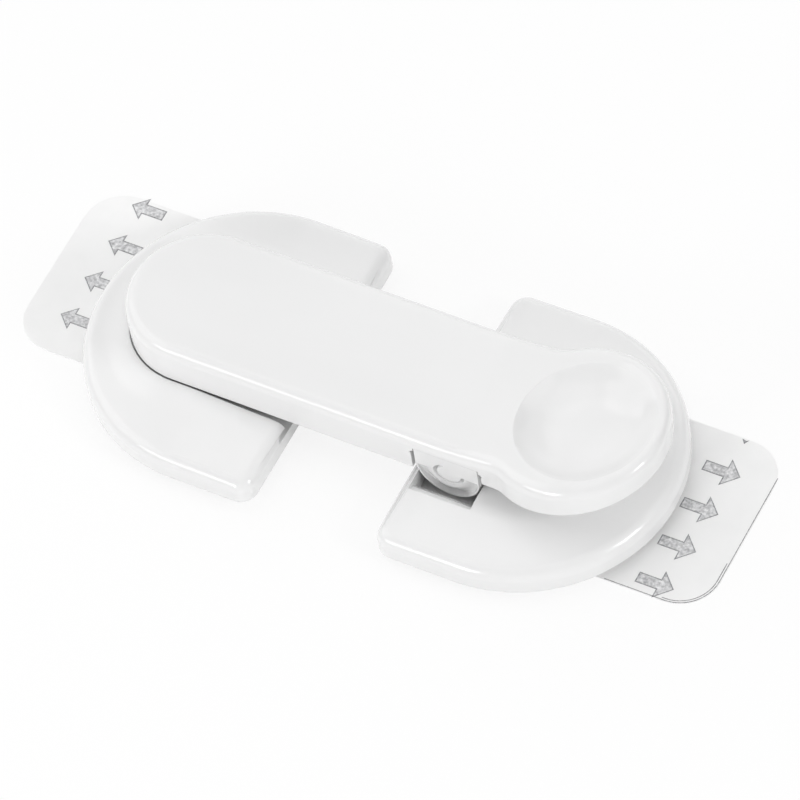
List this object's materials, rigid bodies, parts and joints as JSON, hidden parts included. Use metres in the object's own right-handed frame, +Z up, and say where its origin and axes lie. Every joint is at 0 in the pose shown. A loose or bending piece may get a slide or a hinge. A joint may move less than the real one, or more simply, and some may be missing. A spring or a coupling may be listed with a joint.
{
  "type": "fridge lock",
  "caption": "Adhesive appliance door lock: a hinged arm with a thumb dish bridges two D-shaped bases and is freed by squeezing side tabs.",
  "frame": {"origin": "on the surface that the lock is stuck to, below the middle of the lock: bottom centre of the bounding box", "axes": "+X along the arm from the hinge base to the catch base, +Y across the arm away from the viewer, +Z up out of the surface"},
  "size_m": [0.1896, 0.0784, 0.0292],
  "materials": {
    "base_plastic": "gloss white moulding",
    "arm_plastic": "gloss white moulding",
    "plate_plastic": "fine spark-eroded white moulding",
    "foam": "closed-cell foam tape",
    "liner_paper": "coated release paper with printed arrows",
    "screw_steel": "zinc plated",
    "pin_steel": "ground"
  },
  "bodies": {
    "bases": {"hinge_base": "base_plastic", "hinge_base_plate": "plate_plastic", "hinge_foam_pad": "foam", "hinge_release_liner": "liner_paper", "catch_base": "base_plastic", "catch_base_plate": "plate_plastic", "catch_foam_pad": "foam", "catch_release_liner": "liner_paper"},
    "arm": {"arm_shell": "arm_plastic", "arm_cover": "plate_plastic", "cover_screw_1": "screw_steel", "cover_screw_2": "screw_steel", "cover_screw_3": "screw_steel", "cover_screw_4": "screw_steel", "hinge_pin": "pin_steel"},
    "front_tab": {"front_release_tab": "arm_plastic"},
    "rear_tab": {"rear_release_tab": "arm_plastic"}
  },
  "joints": [
    {"name": "arm_lift", "type": "hinge", "parent": "bases", "child": "arm", "pos_m": [-0.059, 0, 0.017], "axis": [0, -1, 0], "range_deg": [0, 90]},
    {"name": "front_tab_squeeze", "type": "hinge", "parent": "arm", "child": "front_tab", "pos_m": [0.0271, -0.0177, 0.01905], "axis": [1, 0, 0], "range_deg": [0, 8], "stiffness_Nm_per_rad": 0.3},
    {"name": "rear_tab_squeeze", "type": "hinge", "parent": "arm", "child": "rear_tab", "pos_m": [0.0271, 0.0177, 0.01905], "axis": [-1, 0, 0], "range_deg": [0, 8], "stiffness_Nm_per_rad": 0.3}
  ]
}
